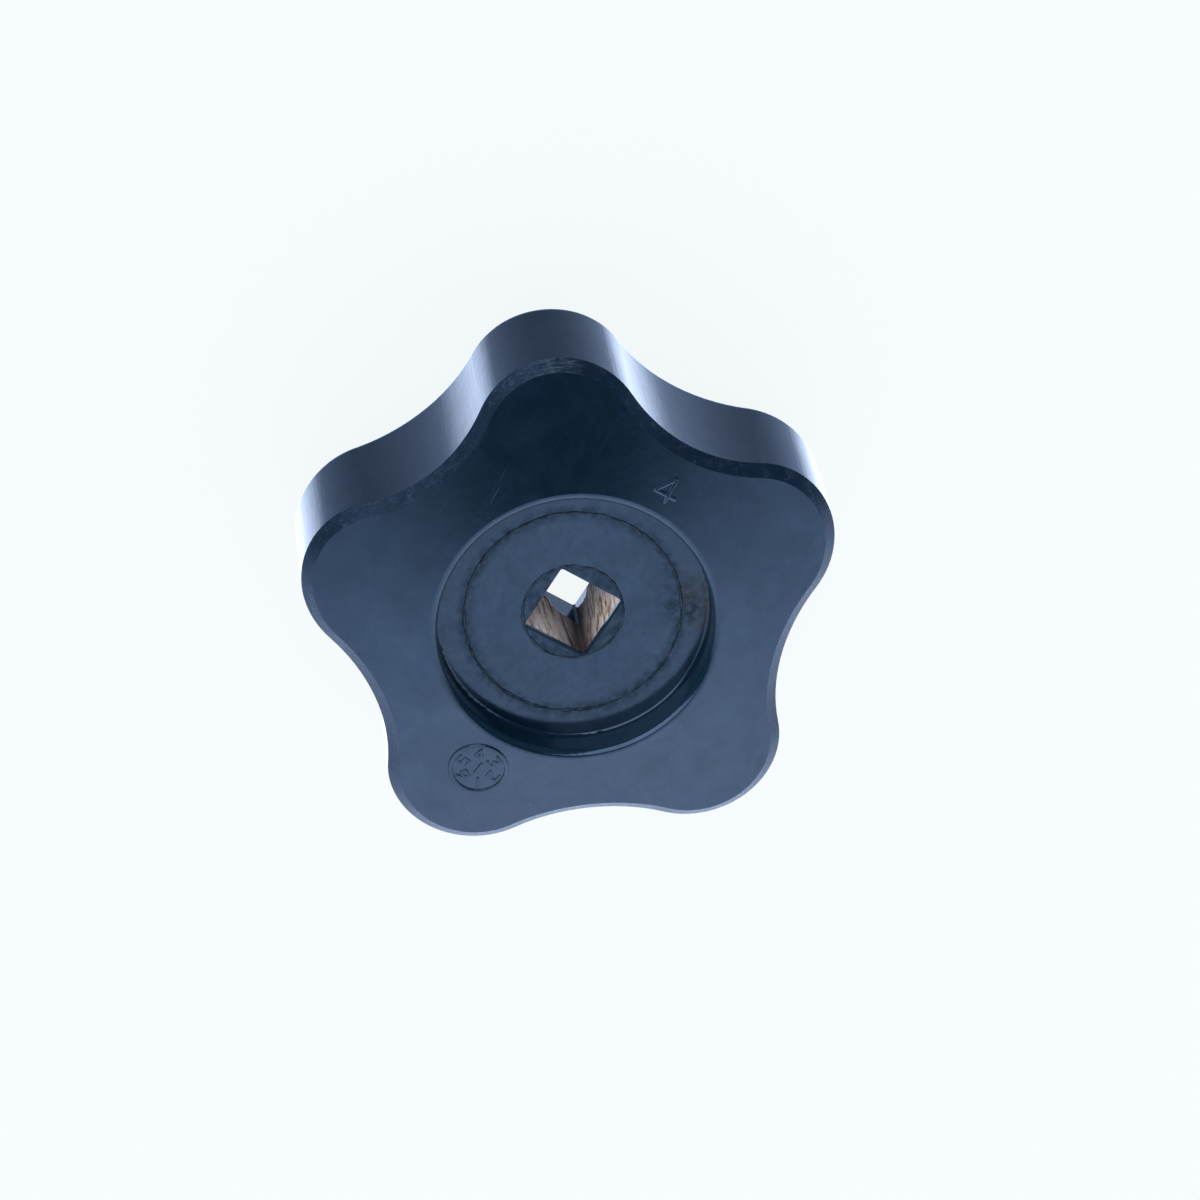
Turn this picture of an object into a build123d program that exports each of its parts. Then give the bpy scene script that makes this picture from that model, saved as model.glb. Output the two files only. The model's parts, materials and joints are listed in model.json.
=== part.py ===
from build123d import *
import os
from math import cos, radians, sin, tan

# Five-lobed star knob, compression moulded in one piece from black phenolic.
# Row frame: origin on the axis, in the plane of the far hub land that it rests on,
# +Z along the axis towards the side with the wide recess, +X through the tip of a lobe.
# All lengths are in millimetres and all angles in degrees.

# Outline of the grip, where the wall would meet the near face
LOBES = 5
TIP_RADIUS = 31.5          # axis to the tip of a lobe
LOBE_ARC = 9.8             # radius of a lobe's rounded end
VALLEY_DEPTH = 7.0         # how far a finger hollow lies inside the tip radius

# Height of the grip
EDGE_HEIGHT = 16.2         # at the lobe tips, from one face to the other
NEAR_CROWN_ANGLE = 13.2    # slope of the near face, up towards the hub
FAR_CROWN_ANGLE = 13.2     # slope of the far face, down towards the hub
DRAFT = 0.8                # the wall leans in towards the far face

# Edges of the grip
NEAR_BEVEL = 1.25          # flat bevel where the moulding flash was dressed off
FAR_ROUND = 1.5            # moulded round on the far edge

# Near recess, for the washer and nut on the end of the spindle
RECESS_RADIUS = 15.7
RECESS_DEPTH = 4.4         # from the edge of the near face to the floor
RECESS_RIM_ROUND = 0.8
RECESS_FLOOR_ROUND = 0.4

# Far recess, for the shoulder of the spindle, and the flat land around it
FAR_RECESS_RADIUS = 14.0
FAR_RECESS_DEPTH = 5.5
FAR_RIM_ROUND = 0.8
FAR_FLOOR_ROUND = 0.4
LAND_WIDTH = 4.0           # from the wall of the far recess to the far face

# Square hole for the spindle, with one flat towards the lobe on +X
SQUARE_SIZE = 8.0          # across flats
SQUARE_CORNER = 0.3

# Heights and radii that follow from the sizes above
LAND_RADIUS = FAR_RECESS_RADIUS + LAND_WIDTH
FAR_TIP_Z = (TIP_RADIUS - LAND_RADIUS) * tan(radians(FAR_CROWN_ANGLE))
NEAR_TIP_Z = FAR_TIP_Z + EDGE_HEIGHT
NEAR_RISE = tan(radians(NEAR_CROWN_ANGLE))
RIM_Z = NEAR_TIP_Z + (TIP_RADIUS - RECESS_RADIUS) * NEAR_RISE
FLOOR_Z = RIM_Z - RECESS_DEPTH
APEX_Z = NEAR_TIP_Z + TIP_RADIUS * NEAR_RISE


def polar(radius, angle):
    """Point of the XY plane at a radius from the axis and an angle from +X."""
    return Vector(radius * cos(radians(angle)), radius * sin(radians(angle)))


def star_outline():
    """Face bounded by tangent arcs, convex round each lobe and concave in each hollow."""
    pitch = 360 / LOBES
    lobe_centre = TIP_RADIUS - LOBE_ARC
    valley_radius = TIP_RADIUS - VALLEY_DEPTH
    # The hollow's arc touches the lobe arcs on both sides of it without a corner
    along = lobe_centre * cos(radians(pitch / 2))
    valley_arc = (LOBE_ARC**2 - lobe_centre**2 - valley_radius**2 + 2 * along * valley_radius) / (
        2 * (valley_radius - along - LOBE_ARC)
    )
    centre = Vector(lobe_centre, 0)
    towards_hollow = (polar(valley_radius + valley_arc, pitch / 2) - centre).normalized()
    leave = centre + towards_hollow * LOBE_ARC
    enter = Vector(leave.X, -leave.Y)
    lobe = Edge.make_three_point_arc(enter, Vector(TIP_RADIUS, 0), leave)
    hollow = Edge.make_three_point_arc(
        leave, polar(valley_radius, pitch / 2), enter.rotate(Axis.Z, pitch)
    )
    turns = [Rot(Z=pitch * number) for number in range(LOBES)]
    return make_face([turn * edge for turn in turns for edge in (lobe, hollow)])


def crowned_disc():
    """Turned blank between the two conical faces, with the flat land on its far side."""
    reach = TIP_RADIUS + VALLEY_DEPTH
    over = reach - TIP_RADIUS
    far_edge_z = FAR_TIP_Z + over * tan(radians(FAR_CROWN_ANGLE))
    near_edge_z = NEAR_TIP_Z - over * NEAR_RISE
    profile = Polyline(
        (0, 0, 0),
        (LAND_RADIUS, 0, 0),
        (reach, 0, far_edge_z),
        (reach, 0, near_edge_z),
        (0, 0, APEX_Z),
        close=True,
    )
    return revolve(make_face(profile.edges()), Axis.Z)


def grip():
    """Drafted star cut out of the crowned blank, with its two outer edges finished."""
    star = Pos(Z=NEAR_TIP_Z) * star_outline()
    walls = extrude(star, APEX_Z - NEAR_TIP_Z, taper=-DRAFT) + extrude(star, -APEX_Z, taper=DRAFT)
    blank = crowned_disc() & walls
    near_crown = blank.faces().sort_by(Axis.Z)[-1]
    blank = chamfer(near_crown.outer_wire().edges(), NEAR_BEVEL)
    far_crown = blank.faces().filter_by(GeomType.CONE).sort_by(Axis.Z)[0]
    return fillet(far_crown.outer_wire().edges(), FAR_ROUND)


def recess(radius, mouth_z, floor_z, floor_round):
    """Round pocket with a radiused floor corner, to cut away from either side."""
    depth = abs(mouth_z - floor_z)
    pocket = Pos(Z=min(mouth_z, floor_z)) * Cylinder(
        radius, depth, align=(Align.CENTER, Align.CENTER, Align.MIN)
    )
    rings = pocket.edges().filter_by(GeomType.CIRCLE).sort_by(Axis.Z)
    return fillet(rings[0] if floor_z < mouth_z else rings[-1], floor_round)


def square_hole():
    """Through cut with slightly rounded corners, longer than the whole knob."""
    square = RectangleRounded(SQUARE_SIZE, SQUARE_SIZE, SQUARE_CORNER)
    return extrude(square, APEX_Z)


def ring_edge(shape, radius, height):
    """The circular edge that best matches a radius and a height."""
    rings = shape.edges().filter_by(GeomType.CIRCLE)
    return min(rings, key=lambda ring: abs(ring.radius - radius) + abs(ring.center().Z - height))


def star_knob():
    """The whole knob: grip, a recess each side with a rounded rim, and the square hole."""
    knob = grip() - recess(RECESS_RADIUS, APEX_Z, FLOOR_Z, RECESS_FLOOR_ROUND)
    knob = fillet(ring_edge(knob, RECESS_RADIUS, RIM_Z), RECESS_RIM_ROUND)
    knob -= recess(FAR_RECESS_RADIUS, -FAR_RECESS_DEPTH, FAR_RECESS_DEPTH, FAR_FLOOR_ROUND)
    knob = fillet(ring_edge(knob, FAR_RECESS_RADIUS, 0), FAR_RIM_ROUND)
    return knob - square_hole()


os.makedirs("parts", exist_ok=True)
export_step(star_knob(), "parts/star_knob.step")
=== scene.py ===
import json
import math
import random

import bmesh
import bpy
from mathutils import Matrix, Vector

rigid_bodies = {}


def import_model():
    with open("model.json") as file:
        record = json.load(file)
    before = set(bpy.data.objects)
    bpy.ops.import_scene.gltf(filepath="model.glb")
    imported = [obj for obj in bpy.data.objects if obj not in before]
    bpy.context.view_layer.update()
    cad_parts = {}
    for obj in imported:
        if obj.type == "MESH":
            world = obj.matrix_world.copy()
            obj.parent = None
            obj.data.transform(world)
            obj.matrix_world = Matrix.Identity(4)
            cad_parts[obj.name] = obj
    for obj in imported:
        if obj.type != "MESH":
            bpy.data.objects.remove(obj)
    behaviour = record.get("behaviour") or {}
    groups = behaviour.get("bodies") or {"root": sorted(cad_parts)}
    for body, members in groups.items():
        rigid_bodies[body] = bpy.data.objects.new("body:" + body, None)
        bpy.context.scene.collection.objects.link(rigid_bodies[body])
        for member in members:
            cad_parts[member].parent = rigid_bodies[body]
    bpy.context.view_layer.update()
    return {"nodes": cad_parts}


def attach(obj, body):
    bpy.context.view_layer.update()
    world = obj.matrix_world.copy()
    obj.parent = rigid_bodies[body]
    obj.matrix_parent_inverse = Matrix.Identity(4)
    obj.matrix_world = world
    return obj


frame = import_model()


# ---------------------------------------------------------------------------
# Grip and hub: one compression moulding in black phenolic, glossy from the polished mould.
# The parting edge was filed to a bevel after moulding, which leaves it scuffed and matt,
# and the square hole was broached, which opens the brown wood flour filler inside the skin.

MM = 0.001
TIP_RADIUS = 31.5
NEAR_TIP_HEIGHT = 19.37     # the near crown's height at the tip of a lobe
CROWN_ANGLE = 13.2
RECESS_FLOOR = 18.67
RECESS_RADIUS = 15.7
FAR_RECESS = 5.5            # depth of the far recess, where the hole ends
HOLE_HALF = 4.0             # the square hole is 8 mm across flats
SLEEVE_RADIUS = 12.4        # ejector sleeve that pushed the knob out of its mould
PIN_RADIUS = 5.75           # core pin that carried the square
HUB_EDGE = 19.0             # everything further out belongs to the grip
PHENOLIC_IOR = 1.6
COLD_SHINE = "#a9cbff"      # tint of the skin's reflections

# Sizes of the finish's patterns, in millimetres
CLOUD_SIZE = 3.0            # mottling of the skin
SMUDGE_SIZE = 4.0           # finger smudges
SPECK_SPACING = 3.5         # between specks of dust
FILM_PATCH = 2.2            # patches in the film of old grease
GRIME_PATCH = 1.1           # patches in the grime on the recess floor
BRUISE_SIZE = 1.4           # scuffs on the bevel
STREAK_WIDTH = 0.65         # broach streaks, drawn a little coarse so that they show
FLECK_SIZE = 0.22           # wood flour flecks
TEAR_SIZE = 0.9             # ragged edge of the skin left in the hole
RIPPLE_SIZE = 1.25          # polishing ripple copied from the mould
DRAW_LINE = 0.4             # draw lines down the walls
FILE_STROKE = 0.33          # file strokes on the bevel

# Depths of its relief, in millimetres
RIPPLE_DEPTH = 0.011
DRAW_DEPTH = 0.012
SCRATCH_DEPTH = 0.0025
FILE_DEPTH = 0.06
TEAR_DEPTH = 0.25

# Roughness of each kind of surface
POLISHED = 0.11
SMUDGED = 0.18
FILED = 0.24
BRUISED = 0.5
TORN = 0.7

# Colours, in sRGB; those in a list run along a pattern from its dark end to its light end
SKIN_COLOURS = [(0.32, "#061620"), (0.5, "#081826"), (0.68, "#0b1c2b")]
FILLER_COLOURS = [
    (0.36, "#45351f"),
    (0.43, "#8c7350"),
    (0.47, "#cbb9a6"),
    (0.53, "#efe6e4"),
    (0.62, "#fbf5f9"),
]
FLECK_COLOUR = "#5b534d"
# painted shade: darkens the hole's walls towards their inner corner
CORNER_SHADE_COLOUR = "#453c30"
# painted light: a lighter colour that brightens the recess's wall
RECESS_WALL_LIGHT = "#12293a"
FILM_COLOUR = "#2c2925"
BRUISE_COLOUR = "#42505f"
SPECK_COLOUR = "#8d99a6"

SKIN_LEFT = 0.35            # skin left whole at the near end of the hole
STREAK_LEAN = 0.07          # how far a streak leans on each wall, per millimetre down the hole
STREAK_SQUEEZE = 0.07       # the streaks are about fourteen times as long as they are wide
SPECK_RADIUS = 0.014        # as a share of the spacing
WORN_LOBE = 216             # azimuth of the lobe whose tip is rubbed
RUB_SIZE = (0.3, 1.6, 0.4)  # grain of its rubbed patch: outwards, around and up
STAIN_SPOT = (-7.6, 11.2, RECESS_FLOOR)
STAIN_REACH = 5.2           # how far the film of old grease spreads from there
SCRATCH_SETS = ((25, 0.0), (80, 31.0), (140, 67.0))     # turn in degrees, and where each starts
SCRATCH_SQUEEZE = (0.09, 2.6, 0.3)      # long along the first axis and thin across it


def linear(hex_colour):
    """sRGB hex to the linear RGBA that Blender's sockets hold."""
    parts = [int(hex_colour[i:i + 2], 16) / 255 for i in (1, 3, 5)]
    return [p / 12.92 if p <= 0.04045 else ((p + 0.055) / 1.055) ** 2.4 for p in parts] + [1.0]


def add_node(owner, kind, settings=None, links=None):
    """Adds one node, sets its properties and sockets by name or number, and links its inputs.

    A link comes from a socket, or from a node's first output. The "stops" of a colour ramp are
    pairs of place and sRGB hex colour.
    """
    node = owner.node_tree.nodes.new(kind)
    for name, value in (settings or {}).items():
        if name == "stops":
            elements = node.color_ramp.elements
            while len(elements) < len(value):
                elements.new(0.5)
            for element, (spot, colour) in zip(elements, value):
                element.position = spot
                element.color = linear(colour)
        elif isinstance(name, int) or name in node.inputs:
            node.inputs[name].default_value = value
        else:
            setattr(node, name, value)
    for name, source in (links or {}).items():
        if isinstance(source, bpy.types.Node):
            source = source.outputs[0]
        owner.node_tree.links.new(source, node.inputs[name])
    return node


def polar_point(radius, azimuth):
    """The x and y of a point round the knob's axis."""
    return radius * math.cos(math.radians(azimuth)), radius * math.sin(math.radians(azimuth))


def black_phenolic():
    """Wood-flour-filled phenolic: a near-black blue skin, mirror smooth where the mould was
    polished, dull where it was filed, and a streaky brown where a broach opened its filler."""
    m = bpy.data.materials.new("black_phenolic")
    m.use_nodes = True
    shader = m.node_tree.nodes["Principled BSDF"]
    shader.inputs["IOR"].default_value = PHENOLIC_IOR
    shader.inputs["Specular Tint"].default_value = linear(COLD_SHINE)

    # All patterns are laid out in millimetres from the knob's own axis.
    place = add_node(m, "ShaderNodeTexCoord")
    mm = add_node(
        m, "ShaderNodeVectorMath",
        {"operation": "SCALE", "Scale": 1 / MM},
        {0: place.outputs["Object"]},
    )
    axes = add_node(m, "ShaderNodeSeparateXYZ", None, {0: mm})
    x, y, z = axes.outputs
    flat = add_node(m, "ShaderNodeVectorMath", {"operation": "MULTIPLY", 1: (1, 1, 0)}, {0: mm})
    radius = add_node(
        m, "ShaderNodeVectorMath", {"operation": "LENGTH"}, {0: flat}
    ).outputs["Value"]
    facing = add_node(m, "ShaderNodeSeparateXYZ", None, {0: place.outputs["Normal"]}).outputs["Z"]

    # Filed bevel: it faces neither up nor sideways, and lies outside the hub.
    above_wall = add_node(m, "ShaderNodeMapRange", {1: 0.25, 2: 0.45}, {0: facing})
    below_crown = add_node(m, "ShaderNodeMapRange", {1: 0.94, 2: 0.78}, {0: facing})
    outside_hub = add_node(
        m, "ShaderNodeMath", {"operation": "GREATER_THAN", 1: HUB_EDGE}, {0: radius}
    )
    bevel = above_wall
    for mask in (below_crown, outside_hub):
        bevel = add_node(m, "ShaderNodeMath", {"operation": "MULTIPLY"}, {0: bevel, 1: mask})

    # Hole walls: everything inside the square. The skin stays whole just below the recess floor,
    # and at the far end where the broach ran out, highest in the corner at +X +Y.
    side_x = add_node(m, "ShaderNodeMath", {"operation": "ABSOLUTE"}, {0: x})
    side_y = add_node(m, "ShaderNodeMath", {"operation": "ABSOLUTE"}, {0: y})
    side = add_node(m, "ShaderNodeMath", {"operation": "MAXIMUM"}, {0: side_x, 1: side_y})
    in_hole = add_node(
        m, "ShaderNodeMath", {"operation": "LESS_THAN", 1: HOLE_HALF + 0.03}, {0: side}
    )
    past_corner = add_node(m, "ShaderNodeMath", {"operation": "SUBTRACT"}, {0: y, 1: x})
    tongue = add_node(m, "ShaderNodeMapRange", {1: 2.9, 2: 2.3, 3: -0.3, 4: 1.6}, {0: past_corner})
    step = add_node(m, "ShaderNodeMapRange", {1: -3.9, 2: -3.4, 3: 0.0, 4: 1.8}, {0: past_corner})
    slope = add_node(m, "ShaderNodeMapRange", {1: -3.4, 2: 0.2, 3: 0.0, 4: 1.7}, {0: past_corner})
    wedge = add_node(m, "ShaderNodeMath", {"operation": "ADD"}, {0: step, 1: slope})
    near_corner = add_node(m, "ShaderNodeMapRange", {1: 0.6, 2: 0.3}, {0: past_corner})
    wedge = add_node(
        m, "ShaderNodeMath", {"operation": "MULTIPLY_ADD"}, {0: wedge, 1: near_corner, 2: tongue}
    )
    ragged = add_node(
        m, "ShaderNodeTexNoise", {"Scale": 1 / TEAR_SIZE, "Detail": 4.0, "Roughness": 0.6}, {0: mm}
    )
    ragged = add_node(m, "ShaderNodeMapRange", {3: -0.9, 4: 0.9}, {0: ragged})
    left_on = add_node(m, "ShaderNodeMath", {"operation": "ADD"}, {0: wedge, 1: ragged})
    torn = add_node(m, "ShaderNodeMath", {"operation": "SUBTRACT"}, {0: z, 1: left_on})
    above_skin = add_node(m, "ShaderNodeMapRange", {1: FAR_RECESS, 2: FAR_RECESS + 0.15}, {0: torn})
    below_edge = add_node(
        m, "ShaderNodeMapRange",
        {1: RECESS_FLOOR - SKIN_LEFT, 2: RECESS_FLOOR - SKIN_LEFT - 0.25},
        {0: z},
    )
    cut = above_skin
    for mask in (below_edge, in_hole):
        cut = add_node(m, "ShaderNodeMath", {"operation": "MULTIPLY"}, {0: cut, 1: mask})

    # Broach streaks: long and narrow, leaning 4 degrees on each wall, with small wood flecks. A
    # painted shade darkens them towards the corner at +X +Y, where the two walls meet.
    lean = add_node(m, "ShaderNodeMath", {"operation": "MULTIPLY", 1: STREAK_LEAN}, {0: z})
    lean_x = add_node(m, "ShaderNodeMath", {"operation": "SUBTRACT"}, {0: x, 1: lean})
    lean_y = add_node(m, "ShaderNodeMath", {"operation": "SUBTRACT"}, {0: y, 1: lean})
    slow_z = add_node(m, "ShaderNodeMath", {"operation": "MULTIPLY", 1: STREAK_SQUEEZE}, {0: z})
    along = add_node(m, "ShaderNodeCombineXYZ", None, {0: lean_x, 1: lean_y, 2: slow_z})
    streak = add_node(
        m, "ShaderNodeTexNoise",
        {"Scale": 1 / STREAK_WIDTH, "Detail": 6.0, "Roughness": 0.72},
        {0: along},
    )
    filler = add_node(m, "ShaderNodeValToRGB", {"stops": FILLER_COLOURS}, {0: streak})
    flecks = add_node(m, "ShaderNodeTexNoise", {"Scale": 1 / FLECK_SIZE, "Detail": 3.0}, {0: mm})
    fleck = add_node(m, "ShaderNodeMapRange", {1: 0.6, 2: 0.7, 4: 0.6}, {0: flecks})
    wood = add_node(
        m, "ShaderNodeMix", {"data_type": "RGBA", 7: linear(FLECK_COLOUR)}, {0: fleck, 6: filler}
    )
    from_corner = add_node(m, "ShaderNodeMath", {"operation": "ABSOLUTE"}, {0: past_corner})
    # Painted shade, darkest where the two walls meet
    corner_shade = add_node(m, "ShaderNodeMapRange", {1: 4.8, 2: 0.6}, {0: from_corner})
    wood = add_node(
        m, "ShaderNodeMix",
        {"data_type": "RGBA", "blend_type": "MULTIPLY", 7: linear(CORNER_SHADE_COLOUR)},
        {0: corner_shade, 6: wood.outputs[2]},
    )

    # Skin: faint cloudy mottling, painted light on the recess's wall as a lighter colour, and a
    # brown film of old grease on the recess floor outside the ejector sleeve's ring.
    clouds = add_node(
        m, "ShaderNodeTexNoise",
        {"Scale": 1 / CLOUD_SIZE, "Detail": 6.0, "Roughness": 0.62},
        {0: mm},
    )
    skin = add_node(m, "ShaderNodeValToRGB", {"stops": SKIN_COLOURS}, {0: clouds})
    inside_rim = add_node(
        m, "ShaderNodeMapRange", {1: RECESS_RADIUS + 0.5, 2: RECESS_RADIUS}, {0: radius}
    )
    above_floor = add_node(
        m, "ShaderNodeMapRange", {1: RECESS_FLOOR + 0.1, 2: RECESS_FLOOR + 0.5}, {0: z}
    )
    # Painted light: the recess's wall above its floor gets a lighter colour
    painted_wall_light = add_node(
        m, "ShaderNodeMath", {"operation": "MULTIPLY"}, {0: inside_rim, 1: above_floor}
    )
    skin = add_node(
        m, "ShaderNodeMix", {"data_type": "RGBA", 7: linear(RECESS_WALL_LIGHT)}, {0: painted_wall_light, 6: skin}
    )
    on_floor = add_node(
        m, "ShaderNodeMath", {"operation": "COMPARE", 1: RECESS_FLOOR, 2: 0.06}, {0: z}
    )
    beyond_sleeve = add_node(
        m, "ShaderNodeMapRange", {1: SLEEVE_RADIUS - 0.2, 2: SLEEVE_RADIUS + 0.3}, {0: radius}
    )
    film = add_node(
        m, "ShaderNodeTexNoise",
        {"Scale": 1 / FILM_PATCH, "Detail": 5.0, "Roughness": 0.65},
        {0: mm},
    )
    stain = add_node(m, "ShaderNodeVectorMath", {"operation": "DISTANCE", 1: STAIN_SPOT}, {0: mm})
    stain = add_node(m, "ShaderNodeMapRange", {1: STAIN_REACH, 2: 1.5}, {0: stain.outputs["Value"]})
    film = add_node(m, "ShaderNodeMapRange", {1: 0.38, 2: 0.6, 4: 0.9}, {0: film})
    for mask in (stain, beyond_sleeve, on_floor):
        film = add_node(m, "ShaderNodeMath", {"operation": "MULTIPLY"}, {0: film, 1: mask})
    colour = add_node(
        m, "ShaderNodeMix",
        {"data_type": "RGBA", 7: linear(FILM_COLOUR)},
        {0: film, 6: skin.outputs[2]},
    )

    # Grime on the recess floor, in patches: beside the sleeve's ring, inside the pin's ring, under
    # the film, and along the hole's edges at +X and +Y. It takes the shine off.
    patchy = add_node(
        m, "ShaderNodeTexNoise",
        {"Scale": 1 / GRIME_PATCH, "Detail": 6.0, "Roughness": 0.7},
        {0: mm},
    )
    patchy = add_node(m, "ShaderNodeMapRange", {1: 0.38, 2: 0.6, 3: 0.25, 4: 1.0}, {0: patchy})
    by_ring = add_node(
        m, "ShaderNodeMath", {"operation": "SUBTRACT", 1: SLEEVE_RADIUS}, {0: radius}
    )
    by_ring = add_node(m, "ShaderNodeMath", {"operation": "ABSOLUTE"}, {0: by_ring})
    by_ring = add_node(m, "ShaderNodeMapRange", {1: 1.2, 2: 0.25, 3: 0.2, 4: 0.8}, {0: by_ring})
    in_pin = add_node(
        m, "ShaderNodeMapRange", {1: PIN_RADIUS + 0.2, 2: PIN_RADIUS - 0.1, 4: 0.75}, {0: radius}
    )
    worn_side = add_node(m, "ShaderNodeMath", {"operation": "MAXIMUM"}, {0: x, 1: y})
    at_edge = add_node(
        m, "ShaderNodeMapRange", {1: HOLE_HALF + 0.45, 2: HOLE_HALF + 0.25}, {0: worn_side}
    )
    in_square = add_node(
        m, "ShaderNodeMath", {"operation": "LESS_THAN", 1: PIN_RADIUS}, {0: radius}
    )
    near_edge = add_node(
        m, "ShaderNodeMath", {"operation": "GREATER_THAN", 1: HOLE_HALF - 0.1}, {0: worn_side}
    )
    for mask in (in_square, near_edge):
        at_edge = add_node(m, "ShaderNodeMath", {"operation": "MULTIPLY"}, {0: at_edge, 1: mask})
    grime = by_ring
    layers = (
        ("MAXIMUM", in_pin), ("MAXIMUM", stain), ("MULTIPLY", patchy),
        ("MAXIMUM", at_edge), ("MULTIPLY", on_floor),
    )
    for operation, mask in layers:
        grime = add_node(m, "ShaderNodeMath", {"operation": operation}, {0: grime, 1: mask})

    # Bevel scuffs: grey bruises on the filed edge, worst at the tip of the lobe that meets the
    # bench first, where they run along the rub.
    bruise = add_node(
        m, "ShaderNodeTexNoise",
        {"Scale": 1 / BRUISE_SIZE, "Detail": 8.0, "Roughness": 0.75},
        {0: mm},
    )
    bruise = add_node(m, "ShaderNodeMapRange", {1: 0.52, 2: 0.75, 4: 0.42}, {0: bruise})
    worn_tip = polar_point(TIP_RADIUS, WORN_LOBE)
    from_tip = add_node(
        m, "ShaderNodeVectorMath",
        {"operation": "DISTANCE", 1: (*worn_tip, NEAR_TIP_HEIGHT)},
        {0: mm},
    )
    at_tip = add_node(
        m, "ShaderNodeMapRange", {1: 4.2, 2: 2.0, 4: 0.7}, {0: from_tip.outputs["Value"]}
    )
    rub = add_node(
        m, "ShaderNodeMapping",
        {"vector_type": "TEXTURE", "Rotation": (0, 0, math.radians(WORN_LOBE)), "Scale": RUB_SIZE},
        {0: mm},
    )
    rubbed = add_node(
        m, "ShaderNodeTexNoise", {"Scale": 1.0, "Detail": 6.0, "Roughness": 0.75}, {0: rub}
    )
    rubbed = add_node(m, "ShaderNodeMapRange", {1: 0.46, 2: 0.62}, {0: rubbed})
    rubbed = add_node(m, "ShaderNodeMath", {"operation": "MULTIPLY"}, {0: rubbed, 1: at_tip})
    bruise = add_node(m, "ShaderNodeMath", {"operation": "MAXIMUM"}, {0: bruise, 1: rubbed})
    bruised = add_node(m, "ShaderNodeMath", {"operation": "MULTIPLY"}, {0: bruise, 1: bevel})
    colour = add_node(
        m, "ShaderNodeMix",
        {"data_type": "RGBA", 7: linear(BRUISE_COLOUR)},
        {0: bruised, 6: colour.outputs[2]},
    )

    # Specks of dust, a tenth of a millimetre across and thinly scattered. The torn filler goes
    # over everything.
    cells = add_node(m, "ShaderNodeTexVoronoi", {"Scale": 1 / SPECK_SPACING}, {0: mm})
    speck = add_node(
        m, "ShaderNodeMath",
        {"operation": "LESS_THAN", 1: SPECK_RADIUS},
        {0: cells.outputs["Distance"]},
    )
    colour = add_node(
        m, "ShaderNodeMix",
        {"data_type": "RGBA", 7: linear(SPECK_COLOUR)},
        {0: speck, 6: colour.outputs[2]},
    )
    colour = add_node(
        m, "ShaderNodeMix",
        {"data_type": "RGBA"},
        {0: cut, 6: colour.outputs[2], 7: wood.outputs[2]},
    )
    m.node_tree.links.new(colour.outputs[2], shader.inputs["Base Color"])

    # Gloss: the polished skin is dulled a little by finger smudges, more where it was filed, more
    # still on the bruises and most in the torn filler. Old grease also takes a little of the shine
    # off, in the same patches as the smudges.
    smudge = add_node(
        m, "ShaderNodeTexNoise",
        {"Scale": 1 / SMUDGE_SIZE, "Detail": 9.0, "Roughness": 0.76, "Distortion": 0.6},
        {0: mm},
    )
    gloss = add_node(
        m, "ShaderNodeMapRange", {1: 0.4, 2: 0.7, 3: POLISHED, 4: SMUDGED}, {0: smudge}
    )
    for roughness, mask in ((FILED, bevel), (BRUISED, bruised), (TORN, cut)):
        gloss = add_node(
            m, "ShaderNodeMix", {"data_type": "FLOAT", 3: roughness}, {0: mask, 2: gloss}
        )
    m.node_tree.links.new(gloss.outputs[0], shader.inputs["Roughness"])
    grease = add_node(m, "ShaderNodeMapRange", {1: 0.35, 2: 0.65, 3: 0.63, 4: 0.48}, {0: smudge})
    grease = add_node(m, "ShaderNodeMix", {"data_type": "FLOAT", 3: 0.1}, {0: grime, 2: grease})
    m.node_tree.links.new(grease.outputs[0], shader.inputs["Specular IOR Level"])

    # Relief: polishing ripple, draw lines down the walls, fine scratches at three angles, file
    # strokes on the bevel and the broach's streaks.
    ripple = add_node(
        m, "ShaderNodeTexNoise",
        {"Scale": 1 / RIPPLE_SIZE, "Detail": 6.0, "Roughness": 0.65},
        {0: mm},
    )
    relief = add_node(
        m, "ShaderNodeBump", {"Strength": 1.0, "Distance": RIPPLE_DEPTH * MM}, {"Height": ripple}
    )
    stretch = add_node(
        m, "ShaderNodeVectorMath", {"operation": "MULTIPLY", 1: (1, 1, 0.05)}, {0: mm}
    )
    draw = add_node(m, "ShaderNodeTexNoise", {"Scale": 1 / DRAW_LINE, "Detail": 5.0}, {0: stretch})
    upright = add_node(m, "ShaderNodeMapRange", {1: 0.3, 2: 0.1}, {0: facing})
    draw = add_node(m, "ShaderNodeMath", {"operation": "MULTIPLY"}, {0: draw, 1: upright})
    relief = add_node(
        m, "ShaderNodeBump",
        {"Strength": 1.0, "Distance": DRAW_DEPTH * MM},
        {"Height": draw, "Normal": relief},
    )
    for turn, start in SCRATCH_SETS:
        lines = add_node(
            m, "ShaderNodeMapping",
            {
                "Rotation": (0, 0, math.radians(turn)),
                "Scale": SCRATCH_SQUEEZE,
                "Location": (start, 0, 0),
            },
            {0: mm},
        )
        scratch = add_node(m, "ShaderNodeTexNoise", {"Scale": 1.0, "Detail": 2.0}, {0: lines})
        scratch = add_node(m, "ShaderNodeMapRange", {1: 0.68, 2: 0.74}, {0: scratch})
        relief = add_node(
            m, "ShaderNodeBump",
            {"Strength": 1.0, "Distance": -SCRATCH_DEPTH * MM},
            {"Height": scratch, "Normal": relief},
        )
    strokes = add_node(
        m, "ShaderNodeTexNoise",
        {"Scale": 1 / FILE_STROKE, "Detail": 6.0, "Roughness": 0.7},
        {0: mm},
    )
    strokes = add_node(m, "ShaderNodeMath", {"operation": "MULTIPLY"}, {0: strokes, 1: bevel})
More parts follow.
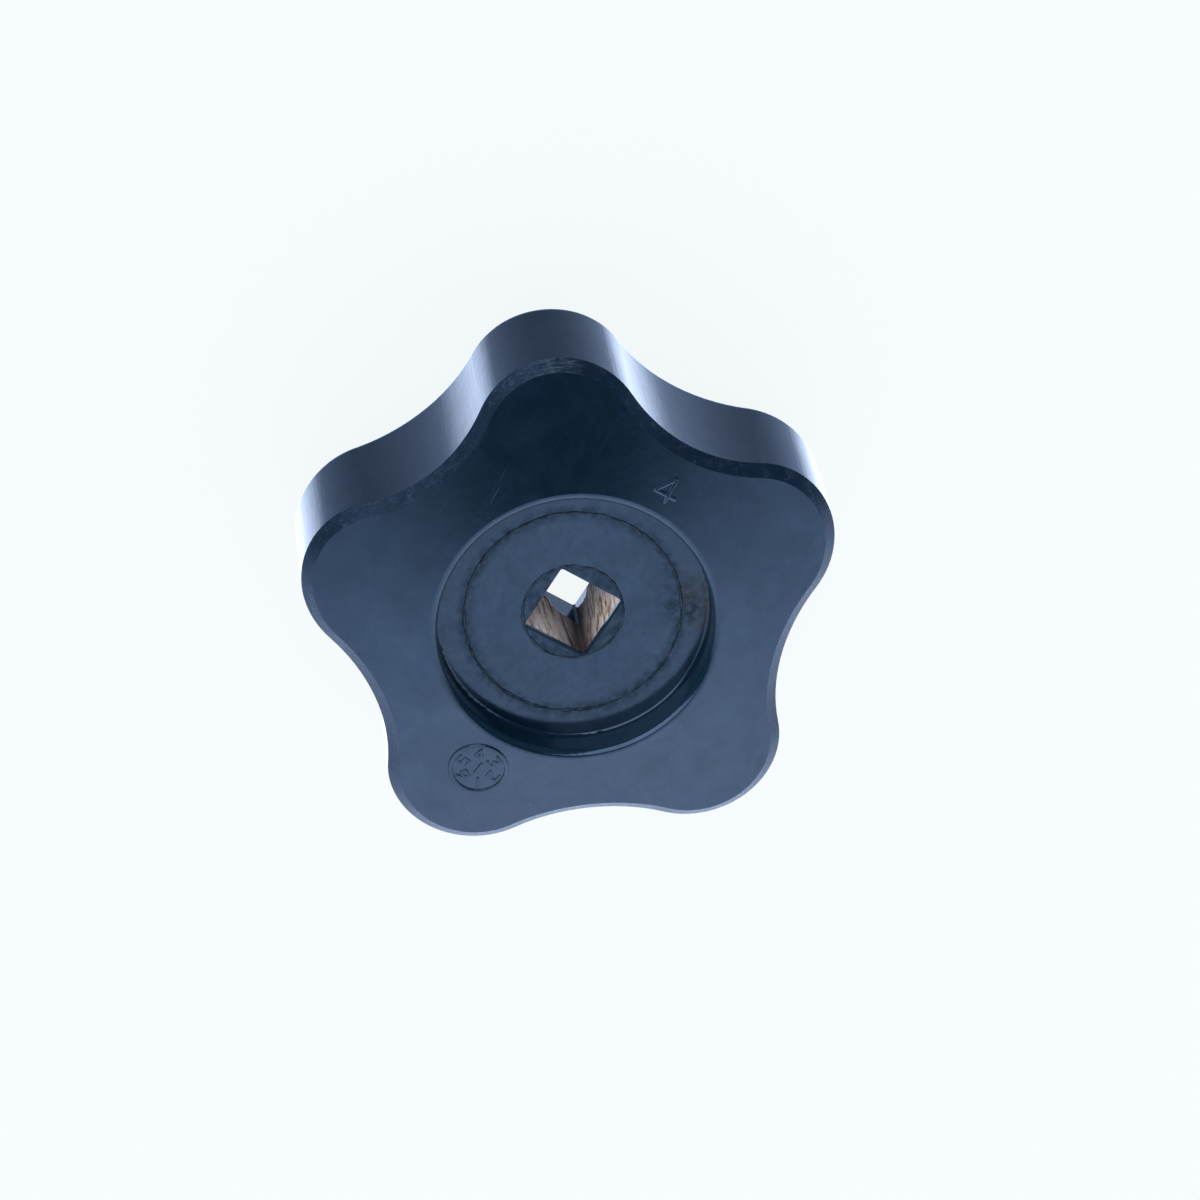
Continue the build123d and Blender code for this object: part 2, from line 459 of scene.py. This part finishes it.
    relief = add_node(
        m, "ShaderNodeBump",
        {"Strength": 1.0, "Distance": FILE_DEPTH * MM},
        {"Height": strokes, "Normal": relief},
    )
    torn = add_node(m, "ShaderNodeMath", {"operation": "MULTIPLY"}, {0: streak, 1: cut})
    relief = add_node(
        m, "ShaderNodeBump",
        {"Strength": 1.0, "Distance": TEAR_DEPTH * MM},
        {"Height": torn, "Normal": relief},
    )
    m.node_tree.links.new(relief.outputs[0], shader.inputs["Normal"])
    return m


knob = frame["nodes"]["star_knob"]
phenolic = black_phenolic()
for material_slot in knob.material_slots:
    material_slot.material = phenolic


# ---------------------------------------------------------------------------
# Cavity number: a raised 4 in the valley opposite the marked lobe, cut into the mould so that
# each knob shows which cavity it came from. Thin half-round strokes, moulded with the crown.

NUMBER_STROKES = [          # each from one point to another, as (right, out) from the axis
    ((0.45, 20.9), (-1.15, 18.85)),
    ((-1.15, 18.85), (1.4, 18.85)),
    ((0.5, 20.7), (0.5, 18.2)),
]
STROKE_WIDTH = 0.58
BEAD_HEIGHT = 0.75          # a bead's height as a share of a full round's


def crown_point(x, y):
    """Point of the near crown above x, y, in metres."""
    drop = (TIP_RADIUS - math.hypot(x, y)) * math.tan(math.radians(CROWN_ANGLE))
    return Vector((x, y, NEAR_TIP_HEIGHT + drop)) * MM


def add_stroke(shape, start, end, width, sides=12, rounds=4):
    """Low round-ended bead from start to end, half sunk in the surface."""
    along = (end - start).normalized()
    across = along.cross(Vector((0, 0, 1))).normalized()
    over = across.cross(along) * BEAD_HEIGHT
    size = width / 2 * MM
    stations = []
    for step in range(1, rounds + 1):
        lean = math.pi / 2 * step / rounds
        stations.append((start - along * size * math.cos(lean), size * math.sin(lean)))
    stations += [(end + start - spot, half) for spot, half in reversed(stations)]
    turns = [2 * math.pi * side / sides for side in range(sides)]
    rows = []
    for spot, half in stations:
        rims = [across * math.cos(turn) + over * math.sin(turn) for turn in turns]
        rows.append([shape.verts.new(spot + rim * half) for rim in rims])
    for near, far in zip(rows, rows[1:]):
        for side in range(sides):
            other = (side + 1) % sides
            shape.faces.new((near[side], near[other], far[other], far[side]))
    for row, tip in ((rows[0], start - along * size), (rows[-1], end + along * size)):
        point = shape.verts.new(tip)
        for side in range(sides):
            shape.faces.new((row[side], row[(side + 1) % sides], point))
    bmesh.ops.recalc_face_normals(shape, faces=shape.faces)


def moulded_piece(name, shape, finish=phenolic):
    """Smooth-shaded piece of the same moulding, from a finished mesh."""
    mesh = bpy.data.meshes.new(name)
    shape.to_mesh(mesh)
    shape.free()
    mesh.materials.append(finish)
    for face in mesh.polygons:
        face.use_smooth = True
    piece = bpy.data.objects.new(name, mesh)
    bpy.context.scene.collection.objects.link(piece)
    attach(piece, "root")
    return piece


number_mesh = bmesh.new()
for (right_a, out_a), (right_b, out_b) in NUMBER_STROKES:
    ends = (crown_point(-out_a, right_a), crown_point(-out_b, right_b))
    add_stroke(number_mesh, *ends, STROKE_WIDTH)
moulded_piece("cavity_number", number_mesh)


# ---------------------------------------------------------------------------
# Dial mark: a round insert in the mould leaves a raised ring with the plain numbers 1 to 6 and
# a pointer, as moulders use to show a shift or a batch. Moulded with the crown, on one lobe.

DIAL_CENTRE = 21.0
DIAL_RADIUS = 3.2
DIGIT_RING = 2.0            # radius of the circle that the digits stand on
BEAD_WIDTHS = {"ring": 0.54, "digit": 0.34, "pointer": 0.42}
POINTER_HALF = 0.7
DIGIT_HALF = (0.4, 0.62)   # half a digit's width and height
DIGITS = [
    [(0, -1), (0, 1)],
    [(-1, 1), (1, 1), (1, 0), (-1, -1), (1, -1)],
    [(-1, 1), (1, 1), (0, 0), (1, -0.4), (0.6, -1), (-1, -1)],
    [(0.6, -1), (0.6, 1), (-1, -0.3), (1, -0.3)],
    [(1, 1), (-1, 1), (-1, 0.1), (1, 0), (0.8, -1), (-1, -1)],
    [(0.8, 1), (-1, 0), (-1, -1), (1, -1), (1, 0), (-1, 0)],
]


def crown_loop(shape, centre, radius, width, steps=96, sides=12):
    """Closed half-sunk bead that follows the crown in a circle."""
    over = Vector((0, 0, BEAD_HEIGHT))
    rows = []
    for step in range(steps):
        turn = 2 * math.pi * step / steps
        middle = crown_point(centre + radius * math.cos(turn), radius * math.sin(turn))
        outward = Vector((math.cos(turn), math.sin(turn), 0))
        row = []
        for side in range(sides):
            lean = 2 * math.pi * side / sides
            rim = outward * math.cos(lean) + over * math.sin(lean)
            row.append(shape.verts.new(middle + rim * width / 2 * MM))
        rows.append(row)
    for step in range(steps):
        near, far = rows[step], rows[(step + 1) % steps]
        for side in range(sides):
            other = (side + 1) % sides
            shape.faces.new((near[side], far[side], far[other], near[other]))


dial_mesh = bmesh.new()
crown_loop(dial_mesh, DIAL_CENTRE, DIAL_RADIUS, BEAD_WIDTHS["ring"])
for place, digit in enumerate(DIGITS):
    turn = math.radians(30 + 60 * place)
    outward = Vector((math.cos(turn), math.sin(turn)))
    right = Vector((outward.y, -outward.x))
    corners = []
    for across, up in digit:
        spot = Vector((DIAL_CENTRE, 0)) + outward * (DIGIT_RING + up * DIGIT_HALF[1])
        spot += right * across * DIGIT_HALF[0]
        corners.append(crown_point(spot.x, spot.y))
    for start, end in zip(corners, corners[1:]):
        add_stroke(dial_mesh, start, end, BEAD_WIDTHS["digit"])
pointer_ends = [crown_point(DIAL_CENTRE + along, 0) for along in (-POINTER_HALF, POINTER_HALF)]
add_stroke(dial_mesh, *pointer_ends, BEAD_WIDTHS["pointer"])
moulded_piece("dial_mark", dial_mesh)


# ---------------------------------------------------------------------------
# Flash rings: phenolic crept into the gaps round the ejector sleeve and the core pin, and left
# two low ragged fins on the recess floor. Moulded with the knob, chipped by handling.

FIN_WIDTH = 0.33
FIN_HEIGHT = 0.06
FIN_STEPS = 240
FIN_SECTION = ((-0.5, -0.05), (-0.16, 1.0), (0.16, 1.0), (0.5, -0.05))      # across, up
SWELL_LIMITS = (0.45, 1.7)  # thinnest and thickest, as a share of the sizes above


def grimy_flash():
    """Torn phenolic edge that has taken up dirt: matt and darker than the skin."""
    m = bpy.data.materials.new("grimy_flash")
    m.use_nodes = True
    shader = m.node_tree.nodes["Principled BSDF"]
    shader.inputs["IOR"].default_value = PHENOLIC_IOR
    shader.inputs["Specular IOR Level"].default_value = 0.25
    shader.inputs["Specular Tint"].default_value = linear(COLD_SHINE)
    place = add_node(m, "ShaderNodeTexCoord")
    mm = add_node(
        m, "ShaderNodeVectorMath",
        {"operation": "SCALE", "Scale": 1 / MM},
        {0: place.outputs["Object"]},
    )
    grime = add_node(m, "ShaderNodeTexNoise", {"Scale": 0.8, "Detail": 4.0}, {0: mm})
    ramp = add_node(
        m, "ShaderNodeValToRGB", {"stops": [(0.4, "#0b141d"), (0.65, "#25313d")]}, {0: grime}
    )
    m.node_tree.links.new(ramp.outputs[0], shader.inputs["Base Color"])
    dull = add_node(m, "ShaderNodeMapRange", {1: 0.4, 2: 0.65, 3: 0.65, 4: 0.35}, {0: grime})
    m.node_tree.links.new(dull.outputs[0], shader.inputs["Roughness"])
    return m


flash_grime = grimy_flash()


def flash_ring(name, radius, seed):
    """Low fin in a circle, whose thickness wanders and whose line shakes a little."""
    draw = random.Random(seed)
    shape = bmesh.new()
    rows = []
    swell = 1.0
    for step in range(FIN_STEPS):
        turn = 2 * math.pi * step / FIN_STEPS
        swell += (1.0 - swell) * 0.3 + draw.uniform(-0.3, 0.3)
        swell = min(SWELL_LIMITS[1], max(SWELL_LIMITS[0], swell))
        outward = Vector((math.cos(turn), math.sin(turn), 0))
        middle = radius + draw.uniform(-0.02, 0.02)
        row = []
        for across, up in FIN_SECTION:
            spot = outward * (middle + across * FIN_WIDTH * swell)
            spot += Vector((0, 0, RECESS_FLOOR + up * FIN_HEIGHT * swell))
            row.append(shape.verts.new(spot * MM))
        rows.append(row)
    for step in range(FIN_STEPS):
        near, far = rows[step], rows[(step + 1) % FIN_STEPS]
        for side in range(len(FIN_SECTION)):
            other = (side + 1) % len(FIN_SECTION)
            shape.faces.new((near[side], near[other], far[other], far[side]))
    bmesh.ops.recalc_face_normals(shape, faces=shape.faces)
    return moulded_piece(name, shape, flash_grime)


flash_ring("sleeve_flash", SLEEVE_RADIUS, 11)
flash_ring("pin_flash", PIN_RADIUS, 12)


# ---------------------------------------------------------------------------
# Floor: a matt white sheet under the knob. It looks white to the eye and keeps the knob's faint
# shadow. The knob's own shine shows the lower half of the white tent in its place.

FLOOR_HALF = 3.0            # metres
WHITE_SHARE = 0.93          # how far the eye sees plain white, over the sheet's own shading
CLEAN_WHITE = "#f9feff"


def matt_white_sheet():
    """Uncoated card: white, with no shine."""
    m = bpy.data.materials.new("matt_white_sheet")
    m.use_nodes = True
    tree = m.node_tree
    shader = tree.nodes["Principled BSDF"]
    shader.inputs["Base Color"].default_value = linear("#eef4fb")
    shader.inputs["Roughness"].default_value = 0.9
    path = add_node(m, "ShaderNodeLightPath")
    white = add_node(m, "ShaderNodeEmission", {"Color": linear(CLEAN_WHITE), "Strength": 1.0})
    seen = add_node(
        m, "ShaderNodeMath",
        {"operation": "MAXIMUM"},
        {0: path.outputs["Is Camera Ray"], 1: path.outputs["Is Transmission Ray"]},
    )
    seen = add_node(m, "ShaderNodeMath", {"operation": "MULTIPLY", 1: WHITE_SHARE}, {0: seen})
    sheet = add_node(m, "ShaderNodeMixShader", None, {0: seen, 1: shader, 2: white})
    tree.links.new(sheet.outputs[0], tree.nodes["Material Output"].inputs["Surface"])
    return m


floor_mesh = bpy.data.meshes.new("floor")
corners = [(x * FLOOR_HALF, y * FLOOR_HALF, 0) for x, y in ((-1, -1), (1, -1), (1, 1), (-1, 1))]
floor_mesh.from_pydata(corners, [], [(0, 1, 2, 3)])
floor_mesh.materials.append(matt_white_sheet())
floor = bpy.data.objects.new("floor", floor_mesh)
bpy.context.scene.collection.objects.link(floor)
floor.visible_glossy = False


# ---------------------------------------------------------------------------
# Camera: a long lens, above and behind the knob, with the marked lobe at the bottom.

VIEW_AZIMUTH = 222.75
VIEW_ELEVATION = 64.08
VIEW_ROLL = 168.07
VIEW_DISTANCE = 1.0308
VIEW_AIM = Vector((-0.19, 4.31, 11.4)) * MM
VIEW_LENS = 270


def direction(azimuth, elevation):
    """Unit vector from the knob, with azimuth measured from +X towards +Y."""
    a, e = math.radians(azimuth), math.radians(elevation)
    return Vector((math.cos(a) * math.cos(e), math.sin(a) * math.cos(e), math.sin(e)))


camera = bpy.data.objects.new("camera", bpy.data.cameras.new("camera"))
bpy.context.scene.collection.objects.link(camera)
camera.data.lens = VIEW_LENS
back = direction(VIEW_AZIMUTH, VIEW_ELEVATION)
camera.location = VIEW_AIM + back * VIEW_DISTANCE
upright = (-back).to_track_quat("-Z", "Y")
camera.rotation_mode = "QUATERNION"
roll = Matrix.Rotation(math.radians(VIEW_ROLL), 3, "Z").to_quaternion()
camera.rotation_quaternion = upright @ roll
camera.data.clip_start = 0.05
camera.data.clip_end = 20
bpy.context.scene.camera = camera


# ---------------------------------------------------------------------------
# Light: a white tent that glows on the side beyond the knob and fades out overhead, open on the
# camera's side to a dim room with a cool light. A wide soft window beside the camera lights the
# knob only, and reaches into the square hole.

LIGHT_AZIMUTH = 38.75
TENT_LEVEL = 2.8
UPPER_FADE = 0.33           # how soon the glow builds up, going away from the camera
LOWER_FADE = 0.17
LOWER_AZIMUTH = 29          # below the knob the glow comes more from one side

WINDOW_AZIMUTH = 248
WINDOW_ELEVATION = 50
WINDOW_DISTANCE = 1.2
WINDOW_SIZE = 1.3
WINDOW_POWER = 16.5

world = bpy.data.worlds.new("tent")
bpy.context.scene.world = world
world.use_nodes = True
heading = add_node(world, "ShaderNodeTexCoord").outputs["Generated"]
height = add_node(world, "ShaderNodeSeparateXYZ", None, {0: heading}).outputs["Z"]
towards = add_node(
    world, "ShaderNodeVectorMath",
    {"operation": "DOT_PRODUCT", 1: direction(LIGHT_AZIMUTH, 0)},
    {0: heading},
).outputs["Value"]
is_lower = add_node(world, "ShaderNodeMath", {"operation": "LESS_THAN", 1: 0.0}, {0: height})
lower_way = add_node(
    world, "ShaderNodeVectorMath",
    {"operation": "DOT_PRODUCT", 1: direction(LOWER_AZIMUTH, 0)},
    {0: heading},
)
way = add_node(
    world, "ShaderNodeMix",
    {"data_type": "FLOAT"},
    {0: is_lower, 2: towards, 3: lower_way.outputs["Value"]},
)
beyond = add_node(world, "ShaderNodeMath", {"operation": "MAXIMUM", 1: 0.0}, {0: way})
rate = add_node(
    world, "ShaderNodeMix",
    {"data_type": "FLOAT", 2: -1 / UPPER_FADE, 3: -1 / LOWER_FADE},
    {0: is_lower},
)
fade = add_node(world, "ShaderNodeMath", {"operation": "MULTIPLY"}, {0: beyond, 1: rate})
fade = add_node(world, "ShaderNodeMath", {"operation": "EXPONENT"}, {0: fade})
glow = add_node(
    world, "ShaderNodeMath",
    {"operation": "MULTIPLY_ADD", 1: -TENT_LEVEL, 2: TENT_LEVEL},
    {0: fade},
)

# It is brightest overhead and straight down, and dims towards the horizon. Below the knob it is
# also a third dimmer on the far side.
straight_down = add_node(
    world, "ShaderNodeMapRange", {1: -0.55, 2: -0.88, 3: 0.3, 4: 1.0}, {0: height}
)
far_side = add_node(world, "ShaderNodeMapRange", {1: 0.36, 2: 0.45, 3: 1.0, 4: 0.68}, {0: towards})
straight_down = add_node(
    world, "ShaderNodeMath", {"operation": "MULTIPLY"}, {0: straight_down, 1: far_side}
)
overhead = add_node(world, "ShaderNodeMapRange", {1: 0.0, 2: 0.5, 3: 0.45, 4: 1.0}, {0: height})
dimming = add_node(
    world, "ShaderNodeMix", {"data_type": "FLOAT"}, {0: is_lower, 2: overhead, 3: straight_down}
)
glow = add_node(world, "ShaderNodeMath", {"operation": "MULTIPLY"}, {0: glow, 1: dimming})
cloth = add_node(
    world, "ShaderNodeMix",
    {"data_type": "RGBA", 6: linear("#f8fbff"), 7: linear("#dce8ff")},
    {0: is_lower},
)
tent = add_node(world, "ShaderNodeBackground", None, {"Color": cloth.outputs[2], "Strength": glow})

room_above = add_node(world, "ShaderNodeMapRange", {1: -0.1, 2: -0.5, 3: 0.0, 4: 0.2}, {0: towards})
room_below = add_node(
    world, "ShaderNodeMapRange", {1: -0.42, 2: 0.02, 3: 0.31, 4: 0.9}, {0: towards}
)
dim = add_node(
    world, "ShaderNodeMix", {"data_type": "FLOAT"}, {0: is_lower, 2: room_above, 3: room_below}
)
room = add_node(world, "ShaderNodeBackground", {"Color": linear("#bcd6ff")}, {"Strength": dim})
light = add_node(world, "ShaderNodeAddShader", None, {0: tent, 1: room})

# To the eye the tent is plain white all round.
white = add_node(world, "ShaderNodeBackground", {"Color": linear(CLEAN_WHITE), "Strength": 1.0})
sight = add_node(world, "ShaderNodeLightPath")
view = add_node(
    world, "ShaderNodeMixShader", None, {0: sight.outputs["Is Camera Ray"], 1: light, 2: white}
)
tree = world.node_tree
tree.links.new(view.outputs[0], tree.nodes["World Output"].inputs["Surface"])

window_light = bpy.data.lights.new("window", "AREA")
window_light.shape = "SQUARE"
window_light.size = WINDOW_SIZE
window_light.energy = WINDOW_POWER
window = bpy.data.objects.new("window", window_light)
bpy.context.scene.collection.objects.link(window)
from_window = direction(WINDOW_AZIMUTH, WINDOW_ELEVATION)
window.location = from_window * WINDOW_DISTANCE
window.rotation_mode = "QUATERNION"
window.rotation_quaternion = from_window.to_track_quat("Z", "Y")
lit_by_window = bpy.data.collections.new("lit_by_window")
for piece in bpy.context.scene.objects:
    if piece.type == "MESH" and piece != floor:
        lit_by_window.objects.link(piece)
window.light_linking.receiver_collection = lit_by_window

bpy.context.scene.view_settings.view_transform = "Standard"
